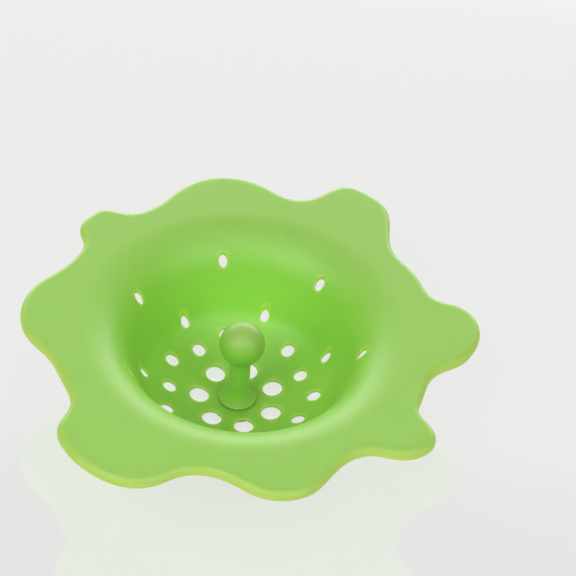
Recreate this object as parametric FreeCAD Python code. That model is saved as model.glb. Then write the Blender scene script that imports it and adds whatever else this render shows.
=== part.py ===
"""Soft sink strainer with a lobed brim and a separate lift knob, as three solids in millimetres.

The strainer stands upright. Z is the axis of its bowl, +Z is up, and the origin is the centre of the round
face that it stands on. Sizes of the bowl are measured at the middle of its wall.
"""
import FreeCAD
import Part

import math
import os

from FreeCAD import Vector

# Bowl: one moulding of even thickness, turned about Z
wall = 0.9
brim_top_height = 32.4
mouth_radius = 36.4
wall_angle = 69.0
shoulder_radius = 15.0
corner_radius = 7.5
floor_rise = 7.5
flat_floor_radius = 6.0

# Brim: uneven lobes with a lip that turns down
valley_radius = 54.0
lobe_reach = 15.5
lip_inner_radius = 1.0
lip_skirt = 0.9

# Outline of the brim, anticlockwise from +X: direction in degrees, share of the reach beyond the valleys
lobe_shares = [
    (0, 0.72), (7, 0.87), (12, 0.79), (16, 0.53), (19, 0.22), (24, 0.12), (31, 0.12), (39, 0.08),
    (45, 0.23), (50, 0.58), (55, 0.90), (61, 0.99), (67, 0.95), (71, 0.58), (74, 0.29), (79, 0.16),
    (87, 0.35), (96, 0.57), (104, 0.57), (112, 0.38), (119, 0.14), (125, 0.05),
    (131, 0.16), (136, 0.52), (140.5, 0.55), (145, 0.48), (149, 0.16), (155, 0.06),
    (162, 0.14), (171, 0.44), (181, 0.57), (190, 0.40), (198, 0.10), (208, 0.02),
    (216, 0.10), (219, 0.28), (222, 0.62), (229, 0.83), (236, 0.88), (246, 0.78), (251, 0.57), (257, 0.15),
    (264, 0.02), (271, 0.14), (278, 0.41), (284, 0.51), (291, 0.46), (299, 0.17), (306, 0.03),
    (312, 0.13), (317, 0.51), (322, 0.72), (327, 0.72), (330, 0.52), (333, 0.14), (339, 0.04),
    (346, 0.02), (350, 0.12), (355, 0.48),
]

# Drain holes: rings of upright round holes, some turned by half a step. Rings in the floor and its bend lie at
# shares of the radius where the floor meets the wall, and the ring in the shoulder at a share of the depth.
holes_per_ring = 7
first_hole_angle = 26.3
centre_ring_share = 0.40
centre_hole_diameter = 5.7
inner_ring_share = 0.714
outer_ring_share = 0.794
floor_hole_diameter = 3.8
bend_ring_share = 0.992
shoulder_ring_share = 0.77
wall_hole_diameter = 2.6

# Lift knob: a ball on a stem that flares out to a thin round foot, which a collar keeps clear of the floor.
# The flare ends at a share of the foot's size.
ball_diameter = 13.0
ball_centre_height = 25.2
neck_diameter = 5.8
stem_base_diameter = 6.2
neck_fillet_radius = 0.8
foot_diameter = 10.8
foot_thickness = 0.6
foot_edge_radius = 0.25
flare_share = 0.92
flare_height = 4.5
collar_diameter = 8.6
collar_height = 0.6

# Retaining pin: pushed into the knob from below, with a flange under the floor
flange_diameter = 15.0
flange_thickness = 1.5
flange_edge_radius = 0.5
pin_diameter = 3.2
pin_grip_length = 8.0
pin_tip_chamfer = 0.5

# Fits
pin_running_clearance = 0.05
knob_end_play = 0.1
bore_end_clearance = 0.5

# How far a cutting tool runs past what it cuts, and how near two places count as one
overrun = 2.0
same_place = 1e-6

up = Vector(0, 0, 1)
full_turn = 360
floor_underside = flange_thickness
floor_top = floor_underside + wall
floor_middle = floor_underside + wall / 2
brim_middle = brim_top_height - wall / 2
lip_roll_radius = lip_inner_radius + wall
lip_height = lip_roll_radius + lip_skirt
knob_base = floor_top + knob_end_play
foot_base = knob_base + collar_height
wall_slope = math.radians(wall_angle)
brim_start_radius = mouth_radius + shoulder_radius * math.tan(wall_slope / 2)


def polar(radius, angle, height):
    """Point at a radius, a direction in degrees and a height."""
    turn = math.radians(angle)
    return Vector(radius * math.cos(turn), radius * math.sin(turn), height)


def wall_radius(height):
    """Radius of the wall's straight line at a height."""
    return mouth_radius - (brim_middle - height) / math.tan(wall_slope)


def floor_edge_radius():
    """Radius at which the dished floor would meet the wall's straight line."""
    return wall_radius(floor_middle + floor_rise)


def shoulder_ring_radius():
    """Radius at which the shoulder's ring of holes meets the roll."""
    height = floor_middle + (brim_middle - floor_middle) * shoulder_ring_share
    above_centre = height - (brim_middle - shoulder_radius)
    return brim_start_radius - math.sqrt(shoulder_radius ** 2 - above_centre ** 2)


def between(first, second):
    """Unit vector halfway between two unit vectors."""
    middle = first + second
    return middle.normalize()


def bowl_stations():
    """Places along the middle of the wall, from the axis to the flat brim, with the normal at each.

    Lines and arcs take turns: axis, floor edge, (dish), corner, (bend), wall foot, wall top, (roll), brim.
    The places in brackets lie halfway along an arc.
    """
    along_wall = Vector(math.cos(wall_slope), 0, math.sin(wall_slope))
    wall_normal = Vector(-math.sin(wall_slope), 0, math.cos(wall_slope))
    mouth = Vector(mouth_radius, 0, brim_middle)

    # The dish leaves the flat floor smoothly and would meet the wall's line at the floor's rise.
    dish_width = floor_edge_radius() - flat_floor_radius
    dish_radius = (dish_width ** 2 + floor_rise ** 2) / (2 * floor_rise)

    # The bend touches the wall's line and lies inside the dish's circle.
    dish_centre = Vector(flat_floor_radius, 0, floor_middle + dish_radius)
    reach = mouth + wall_normal * corner_radius - dish_centre
    lead = reach.dot(along_wall)
    gap = dish_radius - corner_radius
    run = -lead - math.sqrt(lead ** 2 - reach.dot(reach) + gap ** 2)
    bend_centre = mouth + wall_normal * corner_radius + along_wall * run
    corner_normal = (dish_centre - bend_centre).normalize()

    brim_start = Vector(brim_start_radius, 0, brim_middle)
    roll_centre = brim_start - up * shoulder_radius
    tangent_length = brim_start_radius - mouth_radius
    dish_middle = between(up, corner_normal)
    bend_middle = between(corner_normal, wall_normal)
    roll_middle = between(wall_normal, up)
    return [
        (Vector(0, 0, floor_middle), up),
        (Vector(flat_floor_radius, 0, floor_middle), up),
        (dish_centre - dish_middle * dish_radius, dish_middle),
        (dish_centre - corner_normal * dish_radius, corner_normal),
        (bend_centre - bend_middle * corner_radius, bend_middle),
        (bend_centre - wall_normal * corner_radius, wall_normal),
        (mouth - along_wall * tangent_length, wall_normal),
        (roll_centre + roll_middle * shoulder_radius, roll_middle),
        (brim_start, up),
    ]


def surface_edges(stations, offset):
    """Edges of the surface that lies at an offset from the middle of the wall, and its two end points."""
    axis, edge, dish, corner, bend, foot, top, roll, brim = [
        place + normal * offset for place, normal in stations
    ]
    edges = [
        Part.makeLine(axis, edge),
        Part.Arc(edge, dish, corner).toShape(),
        Part.Arc(corner, bend, foot).toShape(),
        Part.makeLine(foot, top),
        Part.Arc(top, roll, brim).toShape(),
    ]
    return edges, axis, brim


def round_bowl():
    """Floor, wall and shoulder, turned about Z up to where the flat brim starts."""
    stations = bowl_stations()
    upper, upper_axis, upper_brim = surface_edges(stations, wall / 2)
    lower, lower_axis, lower_brim = surface_edges(stations, -wall / 2)
    ends = [Part.makeLine(lower_axis, upper_axis), Part.makeLine(upper_brim, lower_brim)]
    outline = Part.Wire(Part.__sortEdges__(upper + lower + ends))
    return Part.Face(outline).revolve(Vector(0, 0, 0), up, full_turn)


def lobed_wire(inset, height):
    """The brim's outline, drawn in by an inset, as one smooth closed curve."""
    places = [polar(valley_radius + lobe_reach * share, angle, height) for angle, share in lobe_shares]
    curve = Part.BSplineCurve()
    curve.interpolate(Points=places, PeriodicFlag=True)
    if inset:
        outward = [curve.tangent(curve.parameter(place))[0].cross(up).normalize() for place in places]
        drawn_in = [place - normal * inset for place, normal in zip(places, outward)]
        curve = Part.BSplineCurve()
        curve.interpolate(Points=drawn_in, PeriodicFlag=True)
    return Part.Wire(curve.toShape())


def alike(first, second):
    """Whether two lengths are the same."""
    return math.isclose(first, second, abs_tol=same_place)


def edges_at_height(shape, height):
    """Edges that lie wholly at one height."""
    return [
        edge for edge in shape.Edges
        if alike(edge.BoundBox.ZMin, height) and alike(edge.BoundBox.ZMax, height)
    ]


def rolled_slab(inset, bottom, top, roll_radius):
    """A slab of the brim's outline with its upper edge rounded over."""
    slab = Part.Face(lobed_wire(inset, bottom)).extrude(up * (top - bottom))
    return slab.makeFillet(roll_radius, edges_at_height(slab, top))


def lobed_brim():
    """Flat brim from the shoulder out to the lip, hollow underneath."""
    lip_bottom = brim_top_height - lip_height
    solid = rolled_slab(0, lip_bottom, brim_top_height, lip_roll_radius)
    hollow = rolled_slab(wall, lip_bottom - overrun, brim_top_height - wall, lip_inner_radius)
    mouth = Part.makeCylinder(brim_start_radius, lip_height + 2 * overrun, Vector(0, 0, lip_bottom - overrun))
    return solid.cut(hollow).cut(mouth)


def upright_hole(radius, angle, diameter):
    """Cutter for one hole, from below the strainer to above it."""
    return Part.makeCylinder(diameter / 2, brim_top_height + 2 * overrun, polar(radius, angle, -overrun))


def drain_holes():
    """Cutters for all the rings of holes."""
    rings = [
        (floor_edge_radius() * centre_ring_share, centre_hole_diameter, False),
        (floor_edge_radius() * inner_ring_share, floor_hole_diameter, False),
        (floor_edge_radius() * outer_ring_share, floor_hole_diameter, True),
        (floor_edge_radius() * bend_ring_share, wall_hole_diameter, False),
        (shoulder_ring_radius(), wall_hole_diameter, True),
    ]
    step = full_turn / holes_per_ring
    cutters = []
    for radius, diameter, turned in rings:
        start = first_hole_angle - step / 2 if turned else first_hole_angle
        for number in range(holes_per_ring):
            cutters.append(upright_hole(radius, start + number * step, diameter))
    return cutters


def only_solid(shape):
    """The one solid that a cut or a fusion leaves."""
    (solid,) = shape.Solids
    return solid


def strainer_bowl():
    """The soft moulding: pierced bowl, shoulder, brim and lip."""
    whole = round_bowl().fuse(lobed_brim()).removeSplitter()
    pin_hole = upright_hole(0, 0, pin_diameter + 2 * pin_running_clearance)
    return only_solid(whole.cut(drain_holes() + [pin_hole]))


def rim_edges(shape, radius, height):
    """Round edges about Z with a given radius and height."""
    curved = [edge for edge in shape.Edges if not edge.Degenerated]
    circles = [edge for edge in curved if isinstance(edge.Curve, Part.Circle)]
    return [
        edge for edge in circles
        if alike(edge.Curve.Radius, radius) and alike(edge.Curve.Center.z, height)
    ]


def flared_stem(foot_top, neck_height):
    """Tapered stem that opens out on to its foot in one smooth arc."""
    stem_radius = stem_base_diameter / 2
    flare_width = flare_share * foot_diameter / 2 - stem_radius
    flare_radius = (flare_width ** 2 + flare_height ** 2) / (2 * flare_width)
    half_turn = math.asin(flare_height / flare_radius) / 2
    flare_top = Vector(stem_radius, 0, foot_top + flare_height)
    flare_end = Vector(stem_radius + flare_width, 0, foot_top)
    flare_centre = flare_top + Vector(flare_radius, 0, 0)
    flare_middle = flare_centre - Vector(math.cos(half_turn), 0, math.sin(half_turn)) * flare_radius
    neck = Vector(neck_diameter / 2, 0, neck_height)
    flare = Part.Arc(flare_end, flare_middle, flare_top).toShape()
    sides = Part.makePolygon([flare_top, neck, Vector(0, 0, neck_height), Vector(0, 0, foot_top), flare_end])
    outline = Part.Wire(Part.__sortEdges__([flare] + sides.Edges))
    return Part.Face(outline).revolve(Vector(0, 0, 0), up, full_turn)


def lift_knob():
    """Ball, stem, foot and collar in one, with a blind bore for the retaining pin."""
    ball_radius = ball_diameter / 2
    neck_radius = neck_diameter / 2
    foot_top = foot_base + foot_thickness
    neck_height = ball_centre_height - math.sqrt(ball_radius ** 2 - neck_radius ** 2)
    ball = Part.makeSphere(ball_radius, Vector(0, 0, ball_centre_height))
    stem = flared_stem(foot_top, neck_height)
    core = Part.makeCylinder(neck_radius, ball_centre_height - foot_top, Vector(0, 0, foot_top))
    foot = Part.makeCylinder(foot_diameter / 2, foot_thickness, Vector(0, 0, foot_base))
    collar = Part.makeCylinder(collar_diameter / 2, collar_height, Vector(0, 0, knob_base))
    knob = ball.fuse([stem, core, foot, collar]).removeSplitter()
    knob = knob.makeFillet(neck_fillet_radius, rim_edges(knob, neck_radius, neck_height))
    foot_rims = rim_edges(knob, foot_diameter / 2, foot_top) + rim_edges(knob, foot_diameter / 2, foot_base)
    knob = knob.makeFillet(foot_edge_radius, foot_rims)
    bore_depth = pin_grip_length + bore_end_clearance
    bore = Part.makeCylinder(pin_diameter / 2, bore_depth + overrun, Vector(0, 0, knob_base - overrun))
    return only_solid(knob.cut(bore))


def retaining_pin():
    """Flange that the strainer stands on, with the pin that grips the knob's bore."""
    pin_radius = pin_diameter / 2
    pin_top = knob_base + pin_grip_length
    flange = Part.makeCylinder(flange_diameter / 2, flange_thickness)
    flange = flange.makeFillet(flange_edge_radius, rim_edges(flange, flange_diameter / 2, 0))
    shank = Part.makeCylinder(pin_radius, pin_top)
    shank = shank.makeChamfer(pin_tip_chamfer, rim_edges(shank, pin_radius, pin_top))
    return only_solid(flange.fuse(shank).removeSplitter())


pieces = {
    "strainer_bowl": strainer_bowl(),
    "lift_knob": lift_knob(),
    "retaining_pin": retaining_pin(),
}
os.makedirs("parts", exist_ok=True)
for name, shape in pieces.items():
    shape.exportStep(os.path.join("parts", name + ".step"))
    box = shape.BoundBox
    print(name, shape.ShapeType, shape.isValid(), "volume", round(shape.Volume, 1),
          "size", round(box.XLength, 2), round(box.YLength, 2), round(box.ZLength, 2))
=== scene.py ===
"""Looks of a soft sink strainer: a pierced bowl with a lobed brim, a ball knob and the pin that holds it.

Lengths are in metres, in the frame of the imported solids: Z is the axis of the bowl, and z = 0 is the face
that the strainer stands on. Sizes of the bowl are measured at the middle of its wall.
"""
import math

import bmesh
import bpy
import numpy as np
from mathutils import Matrix, Vector


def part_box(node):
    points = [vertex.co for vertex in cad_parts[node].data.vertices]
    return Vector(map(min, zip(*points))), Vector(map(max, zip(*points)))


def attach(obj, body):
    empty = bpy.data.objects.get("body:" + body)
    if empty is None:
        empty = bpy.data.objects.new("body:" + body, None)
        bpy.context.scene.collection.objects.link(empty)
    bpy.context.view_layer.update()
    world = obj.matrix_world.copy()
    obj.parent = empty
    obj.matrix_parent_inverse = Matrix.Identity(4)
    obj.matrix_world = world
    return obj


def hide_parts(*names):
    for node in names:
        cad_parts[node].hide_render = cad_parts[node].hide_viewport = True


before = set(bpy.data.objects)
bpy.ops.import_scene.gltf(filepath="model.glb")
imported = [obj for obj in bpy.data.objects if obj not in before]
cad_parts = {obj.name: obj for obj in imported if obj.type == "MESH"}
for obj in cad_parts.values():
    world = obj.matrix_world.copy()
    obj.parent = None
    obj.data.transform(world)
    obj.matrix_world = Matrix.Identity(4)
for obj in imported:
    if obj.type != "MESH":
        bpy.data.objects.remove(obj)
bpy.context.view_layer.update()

bowl_low, bowl_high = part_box("strainer_bowl")
knob_low, knob_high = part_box("lift_knob")
pin_low, pin_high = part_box("retaining_pin")

# Bowl
wall = 0.0009
mouth_radius = 0.0364
wall_slope = math.radians(69)
shoulder_radius = 0.015
corner_radius = 0.0075
floor_rise = 0.0075
flat_floor_radius = 0.006
floor_middle = bowl_low.z + wall / 2
brim_top = bowl_high.z
brim_middle = brim_top - wall / 2

# Brim and lip
valley_radius = 0.054
lobe_reach = 0.0155
lip_inner_radius = 0.0010
lip_roll_radius = lip_inner_radius + wall
lip_skirt = 0.0009

# Outline of the brim, anticlockwise from +X: direction in degrees, share of the reach beyond the valleys
lobe_shares = [
    (0, 0.72), (7, 0.87), (12, 0.79), (16, 0.53), (19, 0.22), (24, 0.12), (31, 0.12), (39, 0.08),
    (45, 0.23), (50, 0.58), (55, 0.90), (61, 0.99), (67, 0.95), (71, 0.58), (74, 0.29), (79, 0.16),
    (87, 0.35), (96, 0.57), (104, 0.57), (112, 0.38), (119, 0.14), (125, 0.05),
    (131, 0.16), (136, 0.52), (140.5, 0.55), (145, 0.48), (149, 0.16), (155, 0.06),
    (162, 0.14), (171, 0.44), (181, 0.57), (190, 0.40), (198, 0.10), (208, 0.02),
    (216, 0.10), (219, 0.28), (222, 0.62), (229, 0.83), (236, 0.88), (246, 0.78), (251, 0.57), (257, 0.15),
    (264, 0.02), (271, 0.14), (278, 0.41), (284, 0.51), (291, 0.46), (299, 0.17), (306, 0.03),
    (312, 0.13), (317, 0.51), (322, 0.72), (327, 0.72), (330, 0.52), (333, 0.14), (339, 0.04),
    (346, 0.02), (350, 0.12), (355, 0.48),
]

# Drain holes: floor rings at shares of the floor's radius, the shoulder's ring at a share of the depth
holes_per_ring = 7
first_hole_angle = math.radians(26.3)
centre_ring_share = 0.40
inner_ring_share = 0.714
outer_ring_share = 0.794
bend_ring_share = 0.992
shoulder_ring_share = 0.77
centre_hole_radius = 0.00285
floor_hole_radius = 0.0019
wall_hole_radius = 0.0013
pin_hole_radius = 0.00165
rim_rounding = 0.00016

# Lift knob
ball_radius = 0.0065
ball_centre = knob_high.z - ball_radius
neck_radius = 0.0029
stem_base_radius = 0.0031
neck_fillet = 0.0008
collar_radius = 0.0043
collar_height = 0.0006
foot_radius = 0.0054
foot_thickness = 0.0006
foot_rounding = 0.00025
flare_share = 0.92
flare_height = 0.0045
foot_base = knob_low.z + collar_height
foot_top = foot_base + foot_thickness
bore_radius = 0.0016
bore_end_clearance = 0.0005
bore_top = pin_high.z + bore_end_clearance

# Retaining pin
flange_radius = pin_high.x
flange_top = bowl_low.z
flange_rounding = 0.0005
pin_tip_radius = 0.0011

# Fineness of the meshes
columns_per_half_step = 24
columns = holes_per_ring * 2 * columns_per_half_step
row_pitch = 0.0006
block_share = 1.28
flat_brim_rows = 8
roll_rows = 6
skirt_rows = 2
arc_steps = 24
outline_steps = 100
turning_steps = 96
rounding_steps = 3
fillet_steps = 8

# Distance at which two places are one, and the steepest rise of the normal of an upright face
merge_gap = 1e-5
upright_rise = 0.5

# Camera, from the photograph's viewing angle; its lens and sensor are in millimetres
camera_place = Vector((0.0, -0.44665, 0.49029))
camera_target = Vector((0.01156, 0.01687, 0.0324))
camera_roll = math.radians(6.29)
camera_lens = 142.2
sensor_width = 36.0

# Finishes: linear colours, roughness of the smoothest and the roughest spots, patterns per metre
bowl_finish = {
    "deep_colour": (0.300, 0.630, 0.064),
    "light_colour": (0.332, 0.660, 0.080),
    "roughness": (0.42, 0.50),
    "bump_strength": 0.06,
    "subsurface": 0.65,
    "specular": 0.70,
}
knob_finish = {
    "deep_colour": (0.265, 0.620, 0.056),
    "light_colour": (0.295, 0.650, 0.070),
    "roughness": (0.40, 0.48),
    "bump_strength": 0.03,
    "subsurface": 0.50,
    "specular": 0.70,
}
scatter_radius = (0.8, 1.4, 0.25)
scatter_scale = 0.0020
cloud_scale = 70
cloud_detail = 2
grain_scale = 2600
grain_detail = 3
grain_height = 0.0001

# Painted sheen, a paler colour on the brim, the knob's cap and its foot that stands in for reflected light,
# and painted light at the lip and hole rims: colours, strengths and reach
painted_sheen_colour = (0.350, 0.565, 0.114)
brim_painted_sheen = 0.65
painted_sheen_depth_share = 0.32
knob_painted_sheen = 0.90
foot_painted_sheen_share = 0.45
# Painted light: a paler colour on the lip and at the hole rims that stands in for light through the thin
# edges
painted_edge_light_colour = (0.620, 0.800, 0.130)
rim_painted_edge_light = 0.5

# Stage and light
floor_half_size = 1.5
floor_colour = (0.90, 0.90, 0.89)
floor_roughness = 0.10
floor_metallic = 0.70
floor_glow_colour = (0.98, 0.98, 0.97)
floor_glow_share = 0.70
world_strength = 0.16

# Lamps: name, place, width, height, power
lamp_table = [
    ("left_softbox", (-0.59, -0.69, 0.87), 0.90, 0.90, 7.8),
    ("right_softbox", (0.61, -0.69, 0.87), 0.90, 0.90, 5.4),
    ("top_softbox", (0.0, 0.0, 1.28), 0.90, 0.90, 2.0),
    ("high_panel", (0.0, 1.16, 0.84), 2.40, 0.70, 1.5),
    ("middle_panel", (0.0, 1.31, 0.56), 2.40, 0.40, 4.5),
    ("low_panel", (0.0, 1.39, 0.32), 2.40, 0.50, 12.0),
]


def wall_radius(height):
    """Radius of the wall's straight line at a height."""
    return mouth_radius - (brim_middle - height) / math.tan(wall_slope)


def bowl_arcs():
    """Centre, radius and slopes of the dished floor, the bend and the shoulder's roll.

    A radius is positive where the surface curves up and negative where it curves down.
    """
    dish_width = wall_radius(floor_middle + floor_rise) - flat_floor_radius
    dish_radius = (dish_width ** 2 + floor_rise ** 2) / (2 * floor_rise)
    dish_centre = Vector((flat_floor_radius, floor_middle + dish_radius))
    along_wall = Vector((math.cos(wall_slope), math.sin(wall_slope)))
    inward = Vector((-math.sin(wall_slope), math.cos(wall_slope)))
    mouth = Vector((mouth_radius, brim_middle))
    reach = mouth + inward * corner_radius - dish_centre
    lead = reach.dot(along_wall)
    run = -lead - math.sqrt(lead ** 2 - reach.dot(reach) + (dish_radius - corner_radius) ** 2)
    bend_centre = mouth + inward * corner_radius + along_wall * run
    to_bend = bend_centre - dish_centre
    dish_slope = math.atan2(to_bend.x, -to_bend.y)
    roll_centre = mouth + Vector((shoulder_radius * math.tan(wall_slope / 2), -shoulder_radius))
    return [
        (dish_centre, dish_radius, 0, dish_slope),
        (bend_centre, corner_radius, dish_slope, wall_slope),
        (roll_centre, -shoulder_radius, wall_slope, 0),
    ]


def bowl_profile(offset):
    """Radii and heights along the bowl's surface at an offset from the middle of its wall."""
    places = [(0, floor_middle + offset)]
    for centre, radius, start, end in bowl_arcs():
        for slope in np.linspace(start, end, arc_steps):
            reach = radius - offset
            places.append((centre.x + reach * math.sin(slope), centre.y - reach * math.cos(slope)))
    return np.array(places).T


upper_profile = bowl_profile(wall / 2)
lower_profile = bowl_profile(-wall / 2)
brim_start = bowl_arcs()[-1][0].x


def smooth_loop(points):
    """Places on a closed cubic curve through the points, spaced by the distances between them."""
    following = np.roll(points, -1, axis=0)
    gap = np.linalg.norm(following - points, axis=1)
    gap_before = np.roll(gap, 1)
    weights = np.diag(2 * (gap_before + gap))
    weights += np.roll(np.diag(gap), -1, axis=1)
    weights += np.roll(np.diag(gap_before), 1, axis=1)
    rise = (following - points) / gap[:, None]
    pull = 3 * (gap[:, None] * np.roll(rise, 1, axis=0) + gap_before[:, None] * rise)
    leaving = np.linalg.solve(weights, pull)
    arriving = np.roll(leaving, -1, axis=0)
    places = []
    for start, end, out, into, length in zip(points, following, leaving, arriving, gap):
        for t in np.linspace(0, 1, outline_steps, endpoint=False):
            ease = t * t * (3 - 2 * t)
            bow = length * (t * (1 - t) ** 2 * out - t * t * (1 - t) * into)
            places.append(start * (1 - ease) + end * ease + bow)
    return np.array(places)


def brim_edge():
    """Places on the brim's outermost edge, one for each column, and the outward direction at each."""
    angles, shares = np.array(lobe_shares).T
    turns = np.radians(angles)
    reach = valley_radius + lobe_reach * shares
    curve = smooth_loop(np.column_stack((reach * np.cos(turns), reach * np.sin(turns))))
    curve_turns = np.arctan2(curve[:, 1], curve[:, 0])
    curve_reach = np.linalg.norm(curve, axis=1)
    column_turns = first_hole_angle + np.arange(columns) * math.tau / columns
    edge_reach = np.interp(column_turns, curve_turns, curve_reach, period=math.tau)
    edge = np.column_stack((edge_reach * np.cos(column_turns), edge_reach * np.sin(column_turns)))
    along = np.roll(edge, -1, axis=0) - np.roll(edge, 1, axis=0)
    outward = np.column_stack((along[:, 1], -along[:, 0]))
    return edge, outward / np.linalg.norm(outward, axis=1)[:, None]


def hole_rings():
    """Radius of each ring, radius of its holes, and whether they are staggered by half a step."""
    floor_edge = wall_radius(floor_middle + floor_rise)
    below_brim = (brim_middle - floor_middle) * (1 - shoulder_ring_share)
    roll_reach = math.sqrt(shoulder_radius ** 2 - (shoulder_radius - below_brim) ** 2)
    return [
        (floor_edge * centre_ring_share, centre_hole_radius, False),
        (floor_edge * inner_ring_share, floor_hole_radius, False),
        (floor_edge * outer_ring_share, floor_hole_radius, True),
        (floor_edge * bend_ring_share, wall_hole_radius, False),
        (brim_start - roll_reach, wall_hole_radius, True),
    ]


def row_radii():
    """Radii of the plan's rows: each block round a hole starts and ends on a row."""
    breaks = [pin_hole_radius, brim_start]
    for radius, hole_radius, staggered in hole_rings():
        breaks += [radius - hole_radius * block_share, radius + hole_radius * block_share]
    breaks.sort()
    rows = [breaks[0]]
    for start, end in zip(breaks, breaks[1:]):
        count = math.ceil((end - start) / row_pitch)
        rows += list(np.linspace(start, end, count + 1)[1:])
    brim_rows = flat_brim_rows + roll_rows + skirt_rows
    return rows + [brim_start + row_pitch * (row + 1) for row in range(brim_rows)]


def spin_full(bm, axis_steps):
    """Turns everything in the bmesh once round Z and closes the seam."""
    bmesh.ops.spin(
        bm, geom=bm.verts[:] + bm.edges[:], cent=(0, 0, 0), axis=(0, 0, 1), angle=math.tau,
        steps=axis_steps, use_merge=True,
    )
    bmesh.ops.remove_doubles(bm, verts=bm.verts, dist=merge_gap)


def chain(bm, places):
    """A row of vertices joined by edges."""
    verts = [bm.verts.new(place) for place in places]
    for first, second in zip(verts, verts[1:]):
        bm.edges.new((first, second))


def pierce(bm, ring_radius, hole_radius, angle):
    """Puts a round hole into the flat plan in place of a block of its faces.

    The hole's circle is held above the plan while it is joined to the block's border, so that the two loops
    pair up without a twist.
    """
    half_block = hole_radius * block_share
    half_columns = max(1, round(half_block / ring_radius * columns / math.tau))
    half_width = half_columns * math.tau / columns
    block = []
    for face in bm.faces:
        middle = face.calc_center_median()
        turn = math.remainder(math.atan2(middle.y, middle.x) - angle, math.tau)
        if abs(turn) < half_width and abs(middle.xy.length - ring_radius) < half_block:
            block.append(face)
    inside = set(block)
    border = [
        edge for edge in {edge for face in block for edge in face.edges}
        if sum(face in inside for face in edge.link_faces) == 1
    ]
    bmesh.ops.delete(bm, geom=block, context="FACES")
    place = Matrix.Rotation(angle, 4, "Z") @ Matrix.Translation((ring_radius, 0, hole_radius))
    circle = bmesh.ops.create_circle(bm, segments=len(border), radius=hole_radius, matrix=place)
    rim = list({edge for vert in circle["verts"] for edge in vert.link_edges})
    bmesh.ops.bridge_loops(bm, edges=border + rim)
    for vert in circle["verts"]:
        vert.co.z = 0


def flat_plan():
    """The bowl's plan: a pierced disc of rows and columns, with dummy rows outside for the brim."""
    bm = bmesh.new()
    start = Vector((math.cos(first_hole_angle), math.sin(first_hole_angle), 0))
    chain(bm, [start * radius for radius in row_radii()])
    spin_full(bm, columns)
    step = math.tau / holes_per_ring
    for ring_radius, hole_radius, staggered in hole_rings():
        first = first_hole_angle - step / 2 if staggered else first_hole_angle
        for number in range(holes_per_ring):
            pierce(bm, ring_radius, hole_radius, first + number * step)
    return bm


def lip_section(upper):
    """Inset and height of the rows over the lip, on its upper or its lower surface."""
    radius = lip_roll_radius if upper else lip_inner_radius
    roll_height = brim_top - lip_roll_radius
    section = []
    for row in range(1, roll_rows + 1):
        turn = math.pi / 2 * row / roll_rows
        section.append((lip_roll_radius - radius * math.sin(turn), roll_height + radius * math.cos(turn)))
    for row in range(1, skirt_rows + 1):
        section.append((lip_roll_radius - radius, roll_height - lip_skirt * row / skirt_rows))
    return section


def lift(bm, painted_sheen, painted_edge_light):
    """Moves each vertex of the two flat layers to its place on the bowl or the brim.

    The painted sheen, a paler colour for reflected light, grows up the shoulder to its full strength on the
    brim, and the painted light at the lip from 0 on the flat brim to 1 at the lip's lower edge.
    """
    edge, outward = brim_edge()
    sections = {True: lip_section(True), False: lip_section(False)}
    flat_height = {True: brim_top, False: brim_top - wall}
    profile = {True: upper_profile, False: lower_profile}
    painted_sheen_end = brim_top - shoulder_radius * painted_sheen_depth_share
    for vert in bm.verts:
        upper = vert.co.z > -wall / 2
        radius = vert.co.xy.length
        if radius <= brim_start + row_pitch / 2:
            vert.co.z = np.interp(radius, *profile[upper])
            vert[painted_sheen] = np.interp(vert.co.z, (painted_sheen_end, brim_top), (0, brim_painted_sheen))
            continue
        vert[painted_sheen] = brim_painted_sheen
        row = round((radius - brim_start) / row_pitch)
        turn = math.atan2(vert.co.y, vert.co.x)
        column = round((turn - first_hole_angle) / math.tau * columns) % columns
        if row <= flat_brim_rows:
            share = row / flat_brim_rows
            start = Vector((math.cos(turn), math.sin(turn))) * brim_start
            end = Vector(edge[column] - outward[column] * lip_roll_radius)
            vert.co.xy = start.lerp(end, share)
            vert.co.z = flat_height[upper]
        else:
            inset, height = sections[upper][row - flat_brim_rows - 1]
            vert.co.xy = Vector(edge[column] - outward[column] * inset)
            vert.co.z = height
            vert[painted_edge_light] = (row - flat_brim_rows) / (roll_rows + skirt_rows)


def new_object(name, data):
    """A new object in the scene."""
    item = bpy.data.objects.new(name, data)
    bpy.context.scene.collection.objects.link(item)
    return item


def add_piece(bm, name, material, body, node):
    """Makes a finished piece of a bmesh: smooth, with its finish, riding on its body in place of a node."""
    mesh = bpy.data.meshes.new(name)
    for face in bm.faces:
        face.smooth = True
    bm.to_mesh(mesh)
    bm.free()
    mesh.materials.append(material)
    piece = new_object(name, mesh)
    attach(piece, body)
    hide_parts(node)


def make_bowl(material):
    """The soft moulding: the pierced plan gets a second layer, and both are lifted into shape."""
    bm = flat_plan()
    # Per-vertex shares of the painted sheen on the brim and of the painted light at the lip and hole rims
    painted_sheen = bm.verts.layers.float.new("painted_sheen")
    painted_edge_light = bm.verts.layers.float.new("painted_edge_light")
    copied = bmesh.ops.extrude_face_region(bm, geom=bm.faces[:], use_keep_orig=True)["geom"]
    lower = [item for item in copied if isinstance(item, bmesh.types.BMVert)]
    bmesh.ops.translate(bm, verts=lower, vec=(0, 0, -wall))
    bm.normal_update()
    sides = {face for face in bm.faces if abs(face.normal.z) < upright_rise}
    rims = [edge for edge in bm.edges if sum(face in sides for face in edge.link_faces) == 1]
    lift(bm, painted_sheen, painted_edge_light)
    # Painted light: the hole rims get a paler colour that stands in for light through the thin wall
    for vert in {vert for edge in rims for vert in edge.verts}:
        vert[painted_edge_light] = max(vert[painted_edge_light], rim_painted_edge_light)
    bmesh.ops.recalc_face_normals(bm, faces=bm.faces)
    bmesh.ops.bevel(
        bm, geom=rims, offset=rim_rounding, offset_type="OFFSET", affect="EDGES",
        segments=rounding_steps, profile=0.5, material=-1, clamp_overlap=True,
    )
    add_piece(bm, "soft_bowl", material, "bowl", "strainer_bowl")


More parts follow.
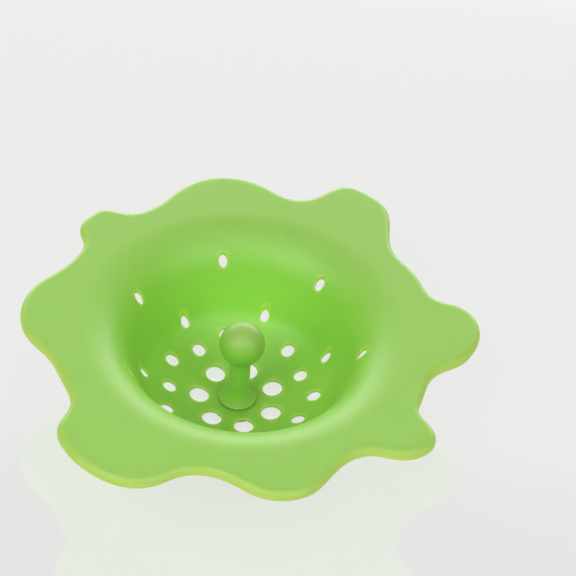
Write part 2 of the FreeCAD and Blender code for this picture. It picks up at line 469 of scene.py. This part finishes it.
def round_over(bm, radius, height, rounding, steps):
    """Rounds a turned piece's edge at a radius and a height."""
    ring = [
        edge for edge in bm.edges
        if all(math.isclose(vert.co.xy.length, radius, abs_tol=merge_gap)
               and math.isclose(vert.co.z, height, abs_tol=merge_gap) for vert in edge.verts)
    ]
    bmesh.ops.bevel(
        bm, geom=ring, offset=rounding, offset_type="OFFSET", affect="EDGES",
        segments=steps, profile=0.5, material=-1, clamp_overlap=True,
    )


def turned(corners):
    """A bmesh turned about Z from the corners of its half section, as radius and height."""
    bm = bmesh.new()
    chain(bm, [(radius, 0, height) for radius, height in corners])
    spin_full(bm, turning_steps)
    bmesh.ops.recalc_face_normals(bm, faces=bm.faces)
    return bm


def make_knob(material):
    """Ball, stem with its flare, foot and collar, bored for the pin; painted sheen on the cap and the foot.
    """
    neck_turn = math.asin(neck_radius / ball_radius)
    neck_height = ball_centre - ball_radius * math.cos(neck_turn)
    corners = [
        (0, bore_top), (bore_radius, bore_top), (bore_radius, knob_low.z), (collar_radius, knob_low.z),
        (collar_radius, foot_base), (foot_radius, foot_base), (foot_radius, foot_top),
    ]
    flare_width = flare_share * foot_radius - stem_base_radius
    flare_radius = (flare_width ** 2 + flare_height ** 2) / (2 * flare_width)
    for turn in np.linspace(math.asin(flare_height / flare_radius), 0, arc_steps):
        corners.append((
            stem_base_radius + flare_radius * (1 - math.cos(turn)),
            foot_top + flare_height - flare_radius * math.sin(turn),
        ))
    for turn in np.linspace(neck_turn, math.pi, arc_steps * 2):
        corners.append((ball_radius * math.sin(turn), ball_centre - ball_radius * math.cos(turn)))
    bm = turned(corners)
    round_over(bm, foot_radius, foot_top, foot_rounding, rounding_steps)
    round_over(bm, foot_radius, foot_base, foot_rounding, rounding_steps)
    round_over(bm, neck_radius, neck_height, neck_fillet, fillet_steps)
    # Painted sheen: paler colour at the top of the ball and on the foot, fading out part way up the flare
    # and towards the ball's middle
    painted_sheen = bm.verts.layers.float.new("painted_sheen")
    heights = (foot_top, foot_top + flare_height * foot_painted_sheen_share, ball_centre, knob_high.z)
    for vert in bm.verts:
        vert[painted_sheen] = np.interp(vert.co.z, heights, (knob_painted_sheen, 0, 0, knob_painted_sheen))
    add_piece(bm, "ball_knob", material, "knob", "lift_knob")


def make_pin(material):
    """Round flange under the floor, with the pin that the knob grips."""
    bm = turned([
        (0, pin_low.z), (flange_radius, pin_low.z), (flange_radius, flange_top), (bore_radius, flange_top),
        (bore_radius, pin_high.z - (bore_radius - pin_tip_radius)), (pin_tip_radius, pin_high.z),
        (0, pin_high.z),
    ])
    round_over(bm, flange_radius, pin_low.z, flange_rounding, rounding_steps)
    add_piece(bm, "flanged_pin", material, "knob", "retaining_pin")


def noise(tree, place, scale, detail):
    """Output of a noise pattern."""
    node = tree.nodes.new("ShaderNodeTexNoise")
    node.inputs["Scale"].default_value = scale
    node.inputs["Detail"].default_value = detail
    tree.links.new(place, node.inputs["Vector"])
    return node.outputs["Fac"]


def mixed(tree, share, first, second):
    """Output of a mix of two colours."""
    node = tree.nodes.new("ShaderNodeMix")
    node.data_type = "RGBA"
    tree.links.new(share, node.inputs["Factor"])
    tree.links.new(first, node.inputs["A"])
    tree.links.new(second, node.inputs["B"])
    return node.outputs["Result"]


def skin_group():
    """Skin of a moulding: clouds in its colour, painted sheen, painted light at the thin edges, uneven
    gloss and fine grain.
    """
    group = bpy.data.node_groups.new("moulded_skin", "ShaderNodeTree")
    for name in ("Deep Colour", "Light Colour", "Painted Sheen Colour", "Painted Edge Light Colour"):
        group.interface.new_socket(name, in_out="INPUT", socket_type="NodeSocketColor")
    for name in ("Painted_sheen", "Painted_edge_light", "Smoothest", "Roughest"):
        group.interface.new_socket(name, in_out="INPUT", socket_type="NodeSocketFloat")
    group.interface.new_socket("Colour", in_out="OUTPUT", socket_type="NodeSocketColor")
    for name in ("Roughness", "Height"):
        group.interface.new_socket(name, in_out="OUTPUT", socket_type="NodeSocketFloat")
    values = group.nodes.new("NodeGroupInput")
    results = group.nodes.new("NodeGroupOutput")
    place = group.nodes.new("ShaderNodeTexCoord")
    clouds = noise(group, place.outputs["Object"], cloud_scale, cloud_detail)
    grain = noise(group, place.outputs["Object"], grain_scale, grain_detail)
    shade = mixed(group, clouds, values.outputs["Deep Colour"], values.outputs["Light Colour"])
    # Painted sheen over the clouded colour, then painted light at the thin edges
    with_painted_sheen = mixed(group, values.outputs["Painted_sheen"], shade, values.outputs["Painted Sheen Colour"])
    colour = mixed(group, values.outputs["Painted_edge_light"], with_painted_sheen, values.outputs["Painted Edge Light Colour"])
    gloss = group.nodes.new("ShaderNodeMapRange")
    group.links.new(clouds, gloss.inputs["Value"])
    group.links.new(values.outputs["Smoothest"], gloss.inputs["To Min"])
    group.links.new(values.outputs["Roughest"], gloss.inputs["To Max"])
    group.links.new(colour, results.inputs["Colour"])
    group.links.new(gloss.outputs["Result"], results.inputs["Roughness"])
    group.links.new(grain, results.inputs["Height"])
    return group


def moulded(name, group, deep_colour, light_colour, roughness, bump_strength, subsurface, specular):
    """Slightly translucent moulded plastic with a skin from the shared group."""
    material = bpy.data.materials.new(name)
    material.use_nodes = True
    nodes = material.node_tree.nodes
    links = material.node_tree.links
    shader = nodes["Principled BSDF"]
    skin = nodes.new("ShaderNodeGroup")
    skin.node_tree = group
    skin.inputs["Deep Colour"].default_value = (*deep_colour, 1)
    skin.inputs["Light Colour"].default_value = (*light_colour, 1)
    # Colours of the painted sheen and of the painted light at the thin edges
    skin.inputs["Painted Sheen Colour"].default_value = (*painted_sheen_colour, 1)
    skin.inputs["Painted Edge Light Colour"].default_value = (*painted_edge_light_colour, 1)
    skin.inputs["Smoothest"].default_value, skin.inputs["Roughest"].default_value = roughness
    # Shares of the painted sheen and of the painted edge light, read from the piece's layers
    for share in ("Painted_sheen", "Painted_edge_light"):
        source = nodes.new("ShaderNodeAttribute")
        source.attribute_name = share.lower()
        links.new(source.outputs["Fac"], skin.inputs[share])
    bump = nodes.new("ShaderNodeBump")
    bump.inputs["Strength"].default_value = bump_strength
    bump.inputs["Distance"].default_value = grain_height
    links.new(skin.outputs["Height"], bump.inputs["Height"])
    links.new(bump.outputs["Normal"], shader.inputs["Normal"])
    links.new(skin.outputs["Colour"], shader.inputs["Base Color"])
    links.new(skin.outputs["Roughness"], shader.inputs["Roughness"])
    shader.inputs["Specular IOR Level"].default_value = specular
    shader.inputs["Subsurface Weight"].default_value = subsurface
    shader.inputs["Subsurface Radius"].default_value = scatter_radius
    shader.inputs["Subsurface Scale"].default_value = scatter_scale
    return material


def floor_finish():
    """Glossy pale board that stays pale to the eye, with the object's shadow and reflection in it."""
    material = bpy.data.materials.new("pale_board")
    material.use_nodes = True
    nodes = material.node_tree.nodes
    links = material.node_tree.links
    shader = nodes["Principled BSDF"]
    shader.inputs["Base Color"].default_value = (*floor_colour, 1)
    shader.inputs["Roughness"].default_value = floor_roughness
    shader.inputs["Metallic"].default_value = floor_metallic
    glow = nodes.new("ShaderNodeEmission")
    glow.inputs["Color"].default_value = (*floor_glow_colour, 1)
    path = nodes.new("ShaderNodeLightPath")
    seen = path.outputs["Is Camera Ray"]
    for ray in ("Is Glossy Ray", "Is Transmission Ray"):
        either = nodes.new("ShaderNodeMath")
        either.operation = "MAXIMUM"
        links.new(seen, either.inputs[0])
        links.new(path.outputs[ray], either.inputs[1])
        seen = either.outputs["Value"]
    share = nodes.new("ShaderNodeMath")
    share.operation = "MULTIPLY"
    share.inputs[1].default_value = floor_glow_share
    links.new(seen, share.inputs[0])
    blend = nodes.new("ShaderNodeMixShader")
    links.new(share.outputs["Value"], blend.inputs["Fac"])
    links.new(shader.outputs["BSDF"], blend.inputs[1])
    links.new(glow.outputs["Emission"], blend.inputs[2])
    links.new(blend.outputs["Shader"], nodes["Material Output"].inputs["Surface"])
    return material


def aimed(place):
    """Matrix of a thing that stands at a place and faces the camera's target."""
    facing = (camera_target - place).to_track_quat("-Z", "Y").to_matrix().to_4x4()
    return Matrix.Translation(place) @ facing


def make_camera():
    """The photograph's camera."""
    data = bpy.data.cameras.new("camera")
    data.lens = camera_lens
    data.sensor_width = sensor_width
    camera = new_object("camera", data)
    camera.matrix_world = aimed(camera_place) @ Matrix.Rotation(camera_roll, 4, "Z")
    bpy.context.scene.camera = camera


def make_floor():
    """A wide pale floor."""
    bm = bmesh.new()
    bmesh.ops.create_grid(bm, x_segments=1, y_segments=1, size=floor_half_size)
    mesh = bpy.data.meshes.new("floor")
    bm.to_mesh(mesh)
    bm.free()
    mesh.materials.append(floor_finish())
    floor = new_object("floor", mesh)


def make_light():
    """An even white world with large soft lamps that face the bowl."""
    world = bpy.data.worlds.new("studio")
    world.use_nodes = True
    backdrop = world.node_tree.nodes["Background"]
    backdrop.inputs["Color"].default_value = (1, 1, 1, 1)
    backdrop.inputs["Strength"].default_value = world_strength
    bpy.context.scene.world = world
    for name, place, width, height, power in lamp_table:
        data = bpy.data.lights.new(name, "AREA")
        data.shape = "RECTANGLE"
        data.size = width
        data.size_y = height
        data.energy = power
        lamp = new_object(name, data)
        lamp.matrix_world = aimed(Vector(place))


bpy.context.scene.view_settings.view_transform = "Standard"
make_camera()
make_floor()
make_light()
shared_skin = skin_group()
make_bowl(moulded("soft_moulding", shared_skin, **bowl_finish))
make_knob(moulded("knob_plastic", shared_skin, **knob_finish))
make_pin(moulded("pin_plastic", shared_skin, **knob_finish))
